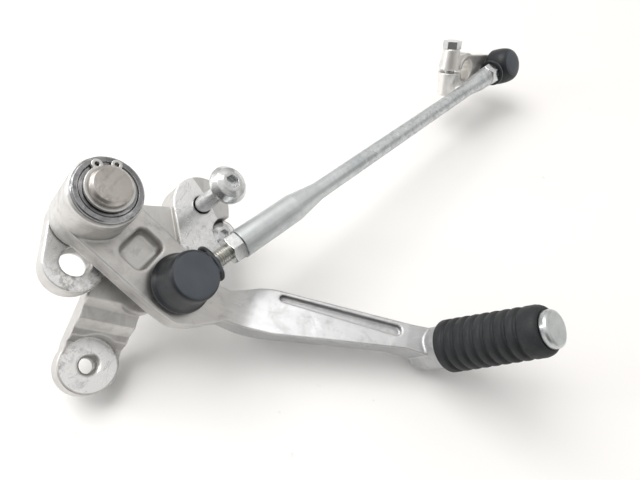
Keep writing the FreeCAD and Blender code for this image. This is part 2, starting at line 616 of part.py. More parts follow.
# ---------------------------------------------------------------- ball joints
def make_stud(label, place, arm_thick):
    """A ball stud: a ball on a neck, a small flange, and a shank through the arm."""
    ball = SIZES["ball_radius"]
    body = new_body(label)
    sketch = new_sketch(body, label + "_profile", "XZ_Plane")
    flat = SIZES["ball_flat"]
    neck = SIZES["neck_radius"]
    low = -math.sqrt(ball ** 2 - neck ** 2)
    top_radius = math.sqrt(ball ** 2 - flat ** 2)
    end = SIZES["stud_face"] - arm_thick - SIZES["stud_nut_thick"] - 0.6
    flange_top = SIZES["stud_face"] + SIZES["stud_flange_thick"]
    points = [Vector(top_radius, flat, 0), Vector(0, flat, 0), Vector(0, end, 0),
              Vector(SIZES["stud_shank"], end, 0), Vector(SIZES["stud_shank"], SIZES["stud_face"], 0),
              Vector(SIZES["stud_flange"], SIZES["stud_face"], 0),
              Vector(SIZES["stud_flange"], flange_top, 0), Vector(neck, flange_top, 0),
              Vector(neck, low, 0)]
    for start, finish in zip(points, points[1:]):
        sketch.addGeometry(Part.LineSegment(start, finish), False)
    ring = Part.Circle(Vector(0, 0, 0), Z_AXIS, ball)
    sketch.addGeometry(Part.ArcOfCircle(ring, math.atan2(low, neck), math.atan2(flat, top_radius)), False)
    turn = body.newObject("PartDesign::Revolution", label + "_turn")
    turn.Profile = sketch
    turn.ReferenceAxis = (sketch, ["V_Axis"])
    turn.Angle = 360.0
    doc.recompute()
    body.Placement = place
    return keep(label, body)


def make_hex_nut(label, flats, bore, low, high, place):
    body = new_body(label)
    pad(body, label + "_hexagon", low, high, lambda sketch: hexagon(sketch, flats))
    cut(body, label + "_bore", f"({low}) - 1", f"({high}) + 1",
        lambda sketch: circle(sketch, 0, 0, bore))
    turn_corners(body, label, flats, low, high)
    body.Placement = place
    return keep(label, body)


def turn_corners(body, label, flats, *ends):
    """Turn away a hexagon's corners at one end or both, as a nut maker does."""
    inner, outer = f"{flats} * 0.485", f"{flats} * 0.6"
    slant = f"{flats} * 0.115 * 0.577"
    low = ends[0]
    for number, end in enumerate(ends):
        inward = "+" if len(ends) > 1 and end == low else "-"
        sketch = new_sketch(body, f"{label}_corner_{number}", "XZ_Plane")
        polygon(sketch, [(inner, end), (outer, end), (outer, f"{end} {inward} {slant}")])
        groove = body.newObject("PartDesign::Groove", f"{label}_turned_{number}")
        groove.Profile = sketch
        groove.ReferenceAxis = (sketch, ["V_Axis"])
        doc.recompute()


def part_object(kind, name, **sizes):
    """A Part primitive whose sizes are bound to the sheet."""
    item = doc.addObject("Part::" + kind, name)
    for size, expression in sizes.items():
        item.setExpression(size, bind(expression))
    return item


def combine(kind, name, base, tool):
    item = doc.addObject("Part::" + kind, name)
    item.Base = base
    item.Tool = tool
    return item


def fuse(name, shapes):
    item = doc.addObject("Part::MultiFuse", name)
    item.Shapes = shapes
    return item


def shifted(item, x=0.0, y=0.0, z="0", turn=None):
    """Put a primitive at a place in its piece's own frame, its height bound to the sheet."""
    item.Placement = Placement(Vector(x, y, value_of(z)), turn or Rotation())
    item.setExpression("Placement.Base.z", bind(z))
    return item


def make_socket(label, place, reach):
    """The cup round the ball, with its threaded stem along local x."""
    drum = shifted(part_object("Cylinder", label + "_drum", Radius="socket_radius",
                               Height="socket_high - socket_low"), z="socket_low")
    along = Rotation(Vector(0, 1, 0), 90)
    stem = part_object("Cylinder", label + "_stem", Radius="stem_radius", Height=reach)
    stem.Placement = Placement(Vector(0, 0, 0), along)
    solid = fuse(label + "_solid", [drum, stem])
    hollow = part_object("Sphere", label + "_hollow", Radius="socket_inner")
    mouth = shifted(part_object("Cylinder", label + "_mouth", Radius="socket_mouth",
                                Height="5"), z="socket_low - 4")
    seat = shifted(part_object("Cylinder", label + "_plug_seat", Radius="plug_radius",
                               Height="4"), z="plug_low - 0.02")
    space = fuse(label + "_space", [hollow, mouth, seat])
    socket = combine("Cut", label, solid, space)
    socket.Placement = place
    return keep(label, socket)


def make_seat(label, place):
    """The plastic liner: a shell between the ball and the cup."""
    outer = part_object("Sphere", label + "_outer", Radius="seat_outer")
    band = shifted(part_object("Cylinder", label + "_band", Radius="seat_outer + 1",
                               Height="seat_high - seat_low"), z="seat_low")
    slice_of = combine("Common", label + "_slice", outer, band)
    inner = part_object("Sphere", label + "_inner", Radius="seat_inner")
    liner = combine("Cut", label, slice_of, inner)
    liner.Placement = place
    return keep(label, liner)


def make_boot(label, place, neck_tilt):
    """A rubber cap over the joint, with a neck round the stem along local x."""
    low, high = label + "_low", label + "_high"
    top, rim, lip = label + "_top", label + "_rim", label + "_lip"
    wall = "boot_wall"
    body = new_body(label)
    outside = new_sketch(body, label + "_outside", "XZ_Plane")
    polygon(outside, [
        (0, low), (lip, low), (rim, low + " + 0.9"), (rim, low + " + 2.8"), (top, high + " - 1.2"),
        (top + " - 1.2", high), (0, high)])
    shell = body.newObject("PartDesign::Revolution", label + "_shell")
    shell.Profile = outside
    shell.ReferenceAxis = (outside, ["V_Axis"])
    doc.recompute()
    lean = Rotation(Vector(0, 1, 0), 90 - neck_tilt)
    way = lean.multVec(Z_AXIS)
    for part_name, radius, start, end in (
            ("neck", "boot_neck_radius", "5", "boot_neck_end"),
            ("flare", "boot_flare_radius", "boot_neck_end - boot_flare_thick", "boot_neck_end")):
        sketch = new_sketch(body, f"{label}_{part_name}_ring", "XY_Plane",
                            Placement(way * value_of(start), lean))
        circle(sketch, 0, 0, radius)
        feature = body.newObject("PartDesign::Pad", f"{label}_{part_name}")
        feature.Profile = sketch
        feature.setExpression("Length", bind(f"({end}) - ({start})"))
        doc.recompute()
    inside = new_sketch(body, label + "_inside", "XZ_Plane")
    polygon(inside, [
        (0, low + " - 1"), (f"{lip} - boot_lip_wall", low + " - 1"),
        (f"{lip} - boot_lip_wall", low + " + 0.8"), (f"{rim} - {wall}", low + " + 1.3"),
        (f"{rim} - {wall}", low + " + 2.8"), (f"{top} - {wall}", f"{high} - {wall}"),
        (0, f"{high} - {wall}")])
    hollow = body.newObject("PartDesign::Groove", label + "_hollow")
    hollow.Profile = inside
    hollow.ReferenceAxis = (inside, ["V_Axis"])
    doc.recompute()
    sketch = new_sketch(body, label + "_stem_ring", "XY_Plane", Placement(Vector(), lean))
    circle(sketch, 0, 0, "stem_radius + 0.15")
    feature = body.newObject("PartDesign::Pocket", label + "_stem_hole")
    feature.Profile = sketch
    feature.Reversed = True
    feature.Length = 20
    doc.recompute()
    body.Placement = place
    return keep(label, body)


def make_joints():
    make_stud("near_ball_stud", NEAR_STUD_PLACE, SIZES["arm_thick_at_stud"])
    near_nut_top = "stud_face - arm_thick_at_stud"
    make_hex_nut("near_stud_nut", "stud_nut_flats", "stud_shank", near_nut_top + " - stud_nut_thick",
                 near_nut_top, NEAR_STUD_PLACE)
    make_stud("far_ball_stud", ARM_PLACE, SIZES["stud_face"] - SIZES["stud_boss_bottom"])
    make_hex_nut("far_stud_nut", "stud_nut_flats", "stud_shank", "stud_boss_bottom - stud_nut_thick",
                 "stud_boss_bottom", ARM_PLACE)
    make_seat("near_ball_seat", NEAR_SOCKET_PLACE)
    make_seat("far_ball_seat", FAR_SOCKET_PLACE)
    make_socket("near_socket", NEAR_SOCKET_PLACE, "near_stem")
    make_socket("far_socket", FAR_SOCKET_PLACE, "far_stem")
    for label, place in (("near_socket_plug", NEAR_SOCKET_PLACE), ("far_socket_plug", FAR_SOCKET_PLACE)):
        turned(label, [(0, "plug_low"), ("plug_radius", "plug_low"), ("plug_radius", "plug_high"),
                       (0, "plug_high")], place)
    make_boot("near_boot", NEAR_BOOT_PLACE, SIZES["rod_rise"])
    make_boot("far_boot", FAR_SOCKET_PLACE, 0.0)


# ---------------------------------------------------------------- tie rod
def make_tie_rod():
    turned("tie_rod", [
        (0, "rod_start + rod_bore_depth"), ("rod_bore", "rod_start + rod_bore_depth"),
        ("rod_bore", "rod_start"), ("rod_thick_radius", "rod_start"),
        ("rod_thick_radius", "rod_thick_end"), ("rod_neck_radius", "rod_neck_end"),
        ("rod_thin_radius", "rod_swell_start"), ("rod_swell_radius", "rod_swell_end"),
        ("rod_swell_radius", "rod_end"), ("rod_bore", "rod_end"),
        ("rod_bore", "rod_end - rod_bore_depth"), (0, "rod_end - rod_bore_depth")], ROD_PLACE)
    for label, start in (("near_lock_nut", "near_nut_start"), ("far_lock_nut", "far_nut_start")):
        make_hex_nut(label, "nut_flats", "rod_bore", start, start + " + lock_nut_thick", ROD_PLACE)


# ---------------------------------------------------------------- shift arm
def make_shift_arm():
    body = new_body("shift_arm")
    pad(body, "arm_strap", "stud_boss_bottom", "stud_face",
        lambda sketch: link(sketch, ("0", "0", "stud_boss_radius"),
                            ("arm_length", "0", "strap_clamp_radius")))
    pad(body, "clamp_boss", "clamp_low", "clamp_high",
        lambda sketch: circle(sketch, "arm_length", 0, "clamp_radius"))
    ear_middle = Placement(Vector(0, 0, SIZES["ear_z"]), Rotation())
    ears = new_sketch(body, "ears_profile", "XY_Plane", ear_middle)
    polygon(ears, [("ear_x", "-ear_top"), ("ear_x + ear_tip_radius", "-ear_top"),
                   ("ear_x + ear_radius", "0"), ("ear_x + ear_tip_radius", "ear_bottom"),
                   ("ear_x", "ear_bottom")])
    turn = body.newObject("PartDesign::Revolution", "ears")
    turn.Profile = ears
    turn.ReferenceAxis = (ears, ["Edge5"])
    doc.recompute()
    pad(body, "ear_root", "ear_z - ear_radius + 0.6", "ear_z + ear_radius - 0.6",
        lambda sketch: polygon(sketch, [("arm_length", -8), ("ear_x", -8), ("ear_x", 8),
                                        ("arm_length", 8)]))
    cut(body, "clamp_bore_cut", "clamp_low - 1", "stud_face + 1",
        lambda sketch: circle(sketch, "arm_length", 0, "clamp_bore"))
    cut(body, "clamp_slit", "clamp_low - 1", "stud_face + 1",
        lambda sketch: polygon(sketch, [("arm_length", "-slit / 2"), (50, "-slit / 2"),
                                        (50, "slit / 2"), ("arm_length", "slit / 2")]))
    cut(body, "stud_bore", "stud_boss_bottom - 1", "stud_face + 1",
        lambda sketch: circle(sketch, 0, 0, "stud_shank"))
    cut(body, "pinch_bore", "-ear_bottom - 1", "ear_top + 1",
        lambda sketch: circle(sketch, "ear_x", "ear_z", "pinch_hole"), "XZ_Plane")
    body.Placement = ARM_PLACE
    keep("shift_arm", body)
    make_pinch_bolt()


def make_pinch_bolt():
    body = new_body("pinch_bolt")
    pad(body, "pinch_shaft", "ear_top - pinch_length", "ear_top",
        lambda sketch: circle(sketch, "ear_x", "ear_z", "pinch_shank"), "XZ_Plane")
    pad(body, "pinch_head", "ear_top", "ear_top + pinch_head_thick",
        lambda sketch: hexagon(sketch, "pinch_flats", "ear_x", "ear_z"), "XZ_Plane")
    body.Placement = ARM_PLACE
    return keep("pinch_bolt", body)


# ---------------------------------------------------------------- fixing bolts
def make_button_bolt(label, place, head, thick, points_below, key, key_depth):
    """A button-head bolt: local z = 0 is under the head."""
    body = new_body(label)
    sketch = new_sketch(body, label + "_profile", "XZ_Plane")
    polygon(sketch, [(0, thick), (f"{head} * 0.5", thick), (f"{head} * 0.8", f"{thick} * 0.72"),
                     (head, f"{thick} * 0.25"), (head, 0)] + points_below)
    turn = body.newObject("PartDesign::Revolution", label + "_turn")
    turn.Profile = sketch
    turn.ReferenceAxis = (sketch, ["V_Axis"])
    doc.recompute()
    cut(body, label + "_key", f"{thick} - {key_depth}", thick, lambda sketch: hexagon(sketch, key))
    body.Placement = place
    return keep(label, body)


def make_bolts():
    lifted = Placement(Vector(SIZES["block_x"], SIZES["block_y"], SIZES["bolt_lift"]), Rotation())
    make_button_bolt("bracket_bolt", lifted, "bolt_head_radius", "bolt_head_thick", [
        ("bolt_waist", 0), ("bolt_waist", "-bolt_waist_length"),
        ("bolt_thread", "-bolt_waist_length - 0.5"), ("bolt_thread", "-bolt_length + 1"),
        ("bolt_thread - 1", "-bolt_length"), (0, "-bolt_length")], "bolt_key", "bolt_key_depth")
    seated = Placement(Vector(SIZES["side_x"], SIZES["side_y"], SIZES["side_seat"]), Rotation())
    make_button_bolt("side_bolt", seated, "side_head_radius", "side_head_thick", [
        ("side_bolt_radius", 0), ("side_bolt_radius", "-side_bolt_length"),
        (0, "-side_bolt_length")], "side_key", "side_key_depth")


make_pivot()
make_lever()
make_toe_peg()
make_joints()
make_tie_rod()
make_shift_arm()
make_bolts()

# ---------------------------------------------------------------- checks and files
doc.recompute()
for item in doc.Objects:
    if "Invalid" in item.State or "Error" in item.State:
        raise RuntimeError(f"{item.Name} failed: {item.State}")
for piece in NODES:
    if piece.Shape.isNull() or not piece.Shape.isValid():
        raise RuntimeError(f"{piece.Label} has no valid shape")
for piece in NODES:
    piece.Shape.exportStep(os.path.join("parts", piece.Label + ".step"))
print(f"{len(NODES)} sub-parts written")
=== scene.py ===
"""Looks of the gear shift lever set: materials, rubber parts, floor, light and camera.

Metres, in the frame of the CAD: +Z along the lever's pivot, +X towards the toe peg, z = 0 at the
back of the bracket.
"""
import json
import math

import bmesh
import bpy
from mathutils import Matrix, Vector

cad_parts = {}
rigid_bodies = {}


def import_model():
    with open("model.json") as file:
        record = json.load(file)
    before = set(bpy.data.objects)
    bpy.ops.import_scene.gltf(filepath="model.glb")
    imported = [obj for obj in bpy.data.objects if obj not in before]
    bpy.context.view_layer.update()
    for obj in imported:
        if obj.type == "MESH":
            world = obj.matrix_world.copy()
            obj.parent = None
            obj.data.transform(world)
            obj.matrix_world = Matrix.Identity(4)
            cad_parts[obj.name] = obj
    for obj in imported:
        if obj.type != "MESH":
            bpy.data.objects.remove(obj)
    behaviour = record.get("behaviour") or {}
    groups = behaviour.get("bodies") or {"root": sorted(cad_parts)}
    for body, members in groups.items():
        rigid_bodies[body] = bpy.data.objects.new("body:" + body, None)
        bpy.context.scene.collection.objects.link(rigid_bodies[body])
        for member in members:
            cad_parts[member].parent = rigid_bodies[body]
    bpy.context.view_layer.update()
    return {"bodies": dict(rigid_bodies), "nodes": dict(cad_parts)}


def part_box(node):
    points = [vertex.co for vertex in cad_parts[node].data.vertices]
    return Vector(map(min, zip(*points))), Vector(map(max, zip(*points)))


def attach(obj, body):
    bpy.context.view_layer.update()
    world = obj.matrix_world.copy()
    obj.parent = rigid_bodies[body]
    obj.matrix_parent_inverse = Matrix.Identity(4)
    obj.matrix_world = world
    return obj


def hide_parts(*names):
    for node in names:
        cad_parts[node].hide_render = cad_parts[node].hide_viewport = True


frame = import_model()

MM = 0.001
NODES = frame["nodes"]

# Places taken from the design, in metres.
NEAR_BALL = Vector((0.0379, -0.011, 0.0305))
ROD_WAY = Vector((0.477401, 0.85561, 0.200052))
BALL_SPACING = 0.2123
FAR_BALL = NEAR_BALL + ROD_WAY * BALL_SPACING
SOCKET_LEAN = Vector((0.177222, -0.317109, 0.931691))
FAR_UP = (SOCKET_LEAN - ROD_WAY * SOCKET_LEAN.dot(ROD_WAY)).normalized()
UPWARD = Vector((0, 0, 1))
PAD_BORE = (0.0048, -0.0158, 0)
LUG_BORE = (0.0294, -0.0413, 0)
LOOSE_BOLT = (0.0367, 0.0307, 0)
TABLE_NORMAL = Vector((-0.633, 0.051, 0.772)).normalized()
TABLE_GAP = 0.0003
# The camera's own axes and place, as fitted to the photograph.
RIGHT = Vector((0.757, 0.250, 0.604))
RISE = Vector((-0.496, 0.821, 0.282))
BACK = Vector((-0.426, -0.513, 0.745))
CAMERA_PLACE = (-0.011204, -0.081165, 0.198743)
MIDDLE = Vector((0.06, 0.04, 0.035))
WARM_WHITE = (1.0, 0.985, 0.965)


# ---------------------------------------------------------------- node helpers
def scaled(color, factor):
    return tuple(value * factor for value in color)


class Maker:
    """Builds one material's node tree."""

    def __init__(self, name):
        self.material = bpy.data.materials.new(name)
        self.material.use_nodes = True
        self.tree = self.material.node_tree
        self.tree.nodes.clear()
        self.coords = self.add("ShaderNodeTexCoord").outputs["Object"]

    def add(self, kind, **values):
        node = self.tree.nodes.new(kind)
        for key, value in values.items():
            setattr(node, key, value)
        return node

    def join(self, source, target):
        self.tree.links.new(source, target)

    def feed(self, socket, value):
        if isinstance(value, bpy.types.NodeSocket):
            self.join(value, socket)
        elif isinstance(value, tuple) and len(value) == 3 and socket.type == "RGBA":
            socket.default_value = (*value, 1.0)
        else:
            socket.default_value = value

    def math(self, operation, a, b=0.0):
        node = self.add("ShaderNodeMath", operation=operation)
        self.feed(node.inputs[0], a)
        self.feed(node.inputs[1], b)
        return node.outputs[0]

    def noise(self, scale, detail=4.0, rough=0.55, stretch=None, distortion=0.0):
        node = self.add("ShaderNodeTexNoise")
        self.feed(node.inputs["Scale"], scale)
        self.feed(node.inputs["Detail"], detail)
        self.feed(node.inputs["Roughness"], rough)
        self.feed(node.inputs["Distortion"], distortion)
        source = self.coords
        if stretch:
            mapping = self.add("ShaderNodeMapping")
            self.join(source, mapping.inputs["Vector"])
            mapping.inputs["Scale"].default_value = stretch
            source = mapping.outputs[0]
        self.join(source, node.inputs["Vector"])
        return node.outputs["Fac"]

    def ramp(self, value, low, high, a=0.0, b=1.0):
        """Map value from low..high to a..b, held at the ends."""
        node = self.add("ShaderNodeMapRange")
        node.clamp = True
        self.feed(node.inputs["Value"], value)
        for key, number in (("From Min", low), ("From Max", high), ("To Min", a), ("To Max", b)):
            self.feed(node.inputs[key], number)
        return node.outputs["Result"]

    def mix(self, factor, a, b):
        node = self.add("ShaderNodeMix", data_type="RGBA")
        self.feed(node.inputs[0], factor)
        self.feed(node.inputs[6], a)
        self.feed(node.inputs[7], b)
        return node.outputs[2]

    def between(self, factor, a, b):
        """A plain number between a and b."""
        node = self.add("ShaderNodeMix", data_type="FLOAT")
        self.feed(node.inputs[0], factor)
        self.feed(node.inputs[2], a)
        self.feed(node.inputs[3], b)
        return node.outputs[0]

    def part(self, color, share, mask, other):
        """The colour, with a share of another one mixed in where the mask is set."""
        return self.mix(self.math("MULTIPLY", mask, share), color, other)

    def bump(self, height, strength, distance, normal=None):
        node = self.add("ShaderNodeBump")
        self.feed(node.inputs["Height"], height)
        self.feed(node.inputs["Strength"], strength)
        self.feed(node.inputs["Distance"], distance)
        if normal is not None:
            self.join(normal, node.inputs["Normal"])
        return node.outputs["Normal"]

    def soft_edges(self, radius):
        node = self.add("ShaderNodeBevel", samples=6)
        node.inputs["Radius"].default_value = radius
        return node.outputs["Normal"]

    def edge_mask(self, radius):
        """1 near sharp edges, 0 on flats: where the bevelled normal leaves the true one."""
        bevel = self.add("ShaderNodeBevel", samples=6)
        bevel.inputs["Radius"].default_value = radius
        geometry = self.add("ShaderNodeNewGeometry")
        dot = self.add("ShaderNodeVectorMath", operation="DOT_PRODUCT")
        self.join(bevel.outputs["Normal"], dot.inputs[0])
        self.join(geometry.outputs["Normal"], dot.inputs[1])
        return self.ramp(dot.outputs["Value"], 0.985, 0.86)

    def corner_shade(self, reach, strength):
        """Painted shade: up to strength in corners and gaps narrower than reach, 0 in the open."""
        node = self.add("ShaderNodeAmbientOcclusion", samples=6)
        node.inputs["Distance"].default_value = reach
        return self.ramp(node.outputs["AO"], 0.3, 0.9, strength, 0.0)

    def facing(self, way):
        """How squarely the surface faces a direction."""
        geometry = self.add("ShaderNodeNewGeometry")
        dot = self.add("ShaderNodeVectorMath", operation="DOT_PRODUCT")
        self.join(geometry.outputs["Normal"], dot.inputs[0])
        dot.inputs[1].default_value = way
        return dot.outputs["Value"]

    def axis(self, letter):
        node = self.add("ShaderNodeSeparateXYZ")
        self.join(self.coords, node.inputs[0])
        return node.outputs[letter]

    def shader(self, color, roughness, metallic, normal=None, **others):
        node = self.add("ShaderNodeBsdfPrincipled")
        self.feed(node.inputs["Base Color"], color)
        self.feed(node.inputs["Roughness"], roughness)
        self.feed(node.inputs["Metallic"], metallic)
        for key, value in others.items():
            self.feed(node.inputs[key.replace("_", " ")], value)
        if normal is not None:
            self.join(normal, node.inputs["Normal"])
        output = self.add("ShaderNodeOutputMaterial")
        self.join(node.outputs[0], output.inputs["Surface"])
        return self.material


def scratches(m, scale, width=0.025, stretch=(1, 1, 1)):
    """Thin random lines from a stretched wave of distorted noise."""
    field = m.noise(scale, 2.0, 0.5, stretch=stretch, distortion=1.4)
    away = m.math("ABSOLUTE", m.math("SUBTRACT", field, 0.5))
    return m.ramp(away, width, 0.0)


# ---------------------------------------------------------------- metals
def cast_metal(name, base, dark, grain=0.3, machined=()):
    """Sand-like cast aluminium; machined is a list of (z, half thickness, x, y, radius) faces."""
    m = Maker(name)
    broad = m.noise(38, 3, 0.55)
    fine = m.noise(1300, 2, 0.5)
    cells = m.noise(420, 3, 0.55)
    edge = m.edge_mask(0.0011)
    color = m.mix(m.ramp(broad, 0.32, 0.7), dark, base)
    grime = m.ramp(m.noise(95, 6, 0.72, distortion=0.6), 0.5, 0.72, 0.0, 0.55)
    color = m.mix(grime, color, scaled(dark, 0.62))
    pale = m.ramp(m.noise(120, 6, 0.72, distortion=0.8), 0.56, 0.7, 0.0, 0.4)
    color = m.mix(pale, color, (0.86, 0.855, 0.84))
    # Painted shade: the cast metal is darker in corners and gaps.
    color = m.mix(m.corner_shade(0.005, 0.55), color, scaled(dark, 0.42))
    # Pale edges: partly wear, partly a painted highlight along the edges.
    color = m.part(color, 0.5, edge, (0.88, 0.87, 0.85))
    rough = m.ramp(broad, 0.2, 0.8, 0.34, 0.46)
    height = m.math("ADD", m.math("MULTIPLY", fine, 0.3), m.math("MULTIPLY", cells, 0.9))
    strength = grain
    mask = None
    for z, half, x, y, radius in machined:
        low = m.math("GREATER_THAN", m.axis(2), (z - half) * MM)
        high = m.math("LESS_THAN", m.axis(2), (z + half) * MM)
        dx = m.math("SUBTRACT", m.axis(0), x * MM)
        dy = m.math("SUBTRACT", m.axis(1), y * MM)
        away = m.math("SQRT", m.math("ADD", m.math("MULTIPLY", dx, dx), m.math("MULTIPLY", dy, dy)))
        inside = m.math("LESS_THAN", away, radius * MM)
        face = m.math("MULTIPLY", m.math("MULTIPLY", low, high), inside)
        mask = face if mask is None else m.math("MAXIMUM", mask, face)
    if mask is not None:
        worn = scratches(m, 170, 0.014, (1, 0.35, 1))
        shiny = m.part((0.93, 0.93, 0.93), 0.5, worn, (0.5, 0.49, 0.47))
        patch = m.math("MULTIPLY", m.ramp(m.noise(55, 3, 0.6), 0.48, 0.62),
                       m.ramp(m.noise(520, 4, 0.7), 0.44, 0.6))
        shiny = m.part(shiny, 0.85, patch, (0.40, 0.39, 0.385))
        # Painted shade: the machined faces are darker in corners and gaps.
        shiny = m.mix(m.corner_shade(0.006, 0.5), shiny, (0.4, 0.39, 0.38))
        color = m.mix(mask, color, shiny)
        rough = m.between(mask, rough, m.ramp(m.noise(90, 3, 0.6), 0.3, 0.7, 0.2, 0.34))
        strength = m.between(mask, grain, 0.03)
    normal = m.bump(height, strength, 0.0002, m.soft_edges(0.0012))
    return m.shader(color, rough, 0.88, normal)


def polished_metal(name, base, dark, rough=(0.2, 0.34), brushed=(1, 1, 1), edge_wear_and_highlight=0.5,
                   bevel=0.0005, metallic=0.95, grain=0.08, stain_and_glint=0.25, streak=0.12, gap=0.0025,
                   warm=None):
    """Worked metal: fine directional brushing, soft stains, painted corner shade, and bright edges
    of wear and painted highlight.
    """
    m = Maker(name)
    broad = m.noise(42, 3, 0.55)
    lines = m.noise(700, 2, 0.5, stretch=brushed)
    spots = m.noise(105, 6, 0.72, distortion=0.7)
    edge = m.edge_mask(bevel * 1.4)
    color = m.mix(m.ramp(broad, 0.32, 0.7), dark, base)
    if warm is not None:
        inner = m.math("ADD", m.axis(0), m.math("MULTIPLY", m.noise(60, 3), 0.012))
        color = m.mix(m.ramp(inner, 0.062, 0.074), m.mix(m.ramp(broad, 0.3, 0.7), *warm), color)
    streaks = m.noise(330, 3, 0.6, stretch=brushed)
    color = m.part(color, streak, m.ramp(streaks, 0.4, 0.66), scaled(dark, 0.4))
    color = m.part(color, stain_and_glint, m.ramp(spots, 0.5, 0.66), scaled(dark, 0.5))
    # Paler random patches: bare metal, and on the washer, with its large share, painted
    # reflections.
    bare_and_glint = m.noise(150, 5, 0.7, distortion=0.9)
    color = m.part(color, stain_and_glint, m.ramp(bare_and_glint, 0.56, 0.68), scaled(base, 1.28))
    # Painted shade: darker in corners and gaps narrower than gap.
    color = m.mix(m.corner_shade(gap, 0.6), color, scaled(dark, 0.35))
    # Bright edges: partly wear, partly a painted highlight along the edges.
    color = m.part(color, edge_wear_and_highlight, edge, (0.9, 0.9, 0.89))
    nicks = scratches(m, 120, 0.008, (1, 1, 0.5))
    roughness = m.math("ADD", m.ramp(broad, 0.3, 0.7, *rough), m.math("MULTIPLY", nicks, 0.1))
    height = m.math("SUBTRACT", lines, m.math("MULTIPLY", nicks, 0.8))
    normal = m.bump(height, grain, 0.00008, m.soft_edges(bevel))
    return m.shader(color, roughness, metallic, normal)


def zinc_rod(name):
    """Dull zinc plate on the tie rod: bluish, blotched with paler patches on the thin length."""
    m = Maker(name)
    broad = m.noise(55, 4, 0.65)
    blotch = m.noise(360, 5, 0.75, stretch=(1, 1, 1.5))
    far = m.ramp(m.axis(1), 0.045, 0.075)
    color = m.mix(m.ramp(broad, 0.3, 0.72), (0.53, 0.56, 0.57), (0.70, 0.725, 0.73))
    patches = m.math("MULTIPLY", m.ramp(blotch, 0.47, 0.6), m.ramp(far, 0.0, 1.0, 0.12, 0.55))
    color = m.mix(patches, color, (0.38, 0.39, 0.41))
    pale = m.math("MULTIPLY", m.ramp(m.noise(300, 4, 0.7), 0.56, 0.68),
                  m.ramp(far, 0, 1, 0.1, 0.85))
    color = m.mix(pale, color, (0.82, 0.82, 0.85))
    rough = m.ramp(blotch, 0.3, 0.7, 0.30, 0.46)
    normal = m.bump(m.math("ADD", blotch, m.noise(1200, 2)), 0.22, 0.00012, m.soft_edges(0.0004))
    return m.shader(color, rough, 0.9, normal)


def rubber(name, base, dust, rough=(0.5, 0.68), grain=0.15, top_sheen=None):
    """Moulded rubber: faint dust in patches and on edges, a dull sheen, and painted highlights on
    edges and on faces turned up.
    """
    m = Maker(name)
    broad = m.noise(85, 4, 0.6)
    fine = m.noise(1400, 3, 0.6)
    color = m.part(base, 0.55, m.ramp(broad, 0.42, 0.75), dust)
    color = m.part(color, 0.25, m.ramp(fine, 0.55, 0.75), scaled(dust, 1.7))
    # Lighter edges: partly dust, partly a painted highlight.
    color = m.part(color, 0.25, m.edge_mask(0.0006), scaled(dust, 2.2))
    # Painted sheen: faces turned up, towards the overhead light, are lighter.
    if top_sheen is not None:
        upper = m.ramp(m.facing((0.10, -0.16, 0.98)), 0.80, 0.95)
        color = m.mix(m.math("MULTIPLY", upper, m.ramp(broad, 0.2, 0.8, 0.6, 1.0)), color, top_sheen)
    roughness = m.ramp(m.noise(200, 3), 0.3, 0.7, *rough)
    normal = m.bump(fine, grain, 0.00012)
    return m.shader(color, roughness, 0.0, normal, Specular_IOR_Level=0.42)


def plastic(name, base, rough=0.45):
    """Moulded plastic with a faint mottle."""
    m = Maker(name)
    color = m.mix(m.ramp(m.noise(120, 3), 0.3, 0.7), base, scaled(base, 0.86))
    normal = m.bump(m.noise(900, 3), 0.08, 0.0001)
    return m.shader(color, rough, 0.0, normal)


# Machined faces in mm: height, half of the band's thickness, centre x and y, radius.
PAD_FACE = (10.0, 0.35, 4.8, -15.8, 60.0)
LUG_FACE = (-14.1, 0.35, 29.4, -41.3, 10.5)
CAST = cast_metal("cast_aluminium", (0.72, 0.71, 0.69), (0.58, 0.57, 0.555), 0.28,
                  machined=(PAD_FACE, LUG_FACE))
# Painted light: the shift arm gets a brighter copy of the cast aluminium, for the stronger light at
# the far end.
CAST_ARM_LIT = cast_metal("cast_shift_arm_lit", (0.92, 0.90, 0.87), (0.80, 0.78, 0.75), 0.25)
LEVER = polished_metal("lever_alloy", (0.57, 0.575, 0.585), (0.47, 0.475, 0.485), (0.33, 0.46),
                       brushed=(0.12, 1, 1), edge_wear_and_highlight=0.6, bevel=0.0014, grain=0.05, stain_and_glint=0.42,
                       gap=0.0032, warm=((0.60, 0.585, 0.565), (0.76, 0.75, 0.73)))
SHAFT = polished_metal("shaft_steel", (0.60, 0.575, 0.545), (0.45, 0.42, 0.39), (0.26, 0.42),
                       edge_wear_and_highlight=0.35, stain_and_glint=0.6, gap=0.0012)
WASHER = polished_metal("washer_steel", (0.50, 0.505, 0.52), (0.20, 0.20, 0.21), (0.10, 0.24),
                        edge_wear_and_highlight=0.6, bevel=0.0004, stain_and_glint=0.75, gap=0.0012)
CLIP = polished_metal("spring_steel", (0.78, 0.77, 0.75), (0.60, 0.59, 0.575), (0.28, 0.42),
                      stain_and_glint=0.35, gap=0.0006)
ZINC = polished_metal("zinc_steel", (0.84, 0.85, 0.855), (0.62, 0.635, 0.64), (0.15, 0.29),
                      edge_wear_and_highlight=0.5, bevel=0.0004, stain_and_glint=0.35, gap=0.0015)
THREAD = polished_metal("thread_steel", (0.62, 0.61, 0.55), (0.42, 0.42, 0.39), (0.24, 0.4),
                        stain_and_glint=0.4)
PEG = polished_metal("peg_steel", (0.66, 0.69, 0.69), (0.50, 0.53, 0.535), (0.2, 0.34),
                     edge_wear_and_highlight=0.4, bevel=0.0005)
BRONZE = polished_metal("bush_bronze", (0.66, 0.48, 0.25), (0.45, 0.31, 0.16), (0.25, 0.4))
ROD = zinc_rod("rod_steel")
GRIP = rubber("peg_rubber", (0.016, 0.018, 0.020), (0.035, 0.038, 0.041))
